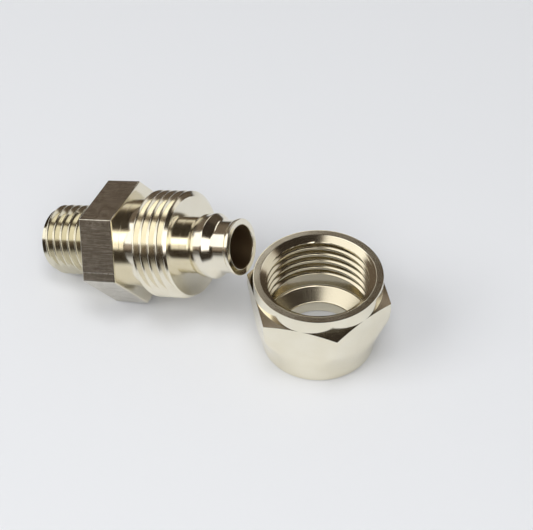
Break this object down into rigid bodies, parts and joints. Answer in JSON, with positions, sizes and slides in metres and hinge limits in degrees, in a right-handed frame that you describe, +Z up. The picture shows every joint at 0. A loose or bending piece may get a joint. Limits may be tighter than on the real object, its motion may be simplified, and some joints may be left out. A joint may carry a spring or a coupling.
{
  "type": "hose fitting",
  "caption": "Push-on hose fitting with a male thread, hexagon body, barbed hose stub and a loose union nut standing beside it.",
  "frame": {"origin": "centre of the nut's hose hole at the foot that the nut stands on", "axes": "+Z up along the nut's axis, out of its threaded mouth; +X from the body's male thread towards its hose stub, in plan"},
  "size_m": [0.0618, 0.0224, 0.0219],
  "materials": {
    "fitting_body": "nickel plated, polished turned faces with brushed hexagon flats",
    "union_nut": "nickel plated, polished"
  },
  "bodies": {
    "root": {"fitting_body": "fitting_body", "union_nut": "union_nut"}
  },
  "joints": []
}
